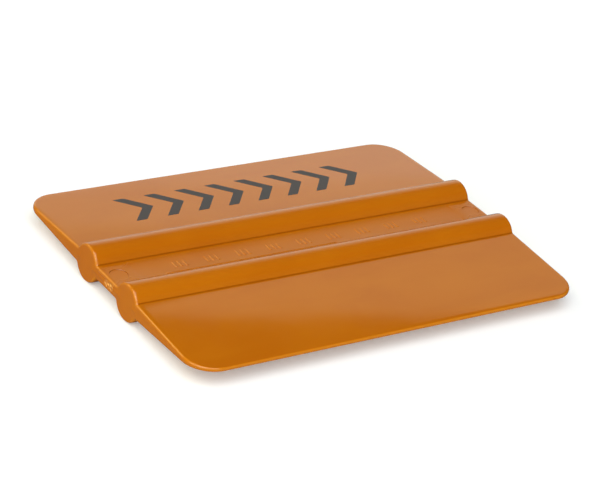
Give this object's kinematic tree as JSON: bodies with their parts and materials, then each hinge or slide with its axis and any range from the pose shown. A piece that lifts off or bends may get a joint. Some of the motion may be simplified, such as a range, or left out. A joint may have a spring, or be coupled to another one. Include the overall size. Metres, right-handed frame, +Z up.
{
  "type": "squeegee applicator",
  "caption": "Flat hand squeegee with tapered blades on both sides of a ribbed finger grip and a printed chevron row.",
  "frame": {"origin": "on the resting surface, under the centre of the moulding, which lies on the two finger ribs", "axes": "+X along the finger ribs towards the end without the gate scar, +Y towards the printed rear blade's working edge, +Z up out of the printed face"},
  "size_m": [0.1, 0.075, 0.0086],
  "materials": {
    "orange_plastic": "satin",
    "grey_ink": "satin"
  },
  "bodies": {
    "root": {"squeegee_body": "orange_plastic", "printed_chevrons": "grey_ink"}
  },
  "joints": []
}
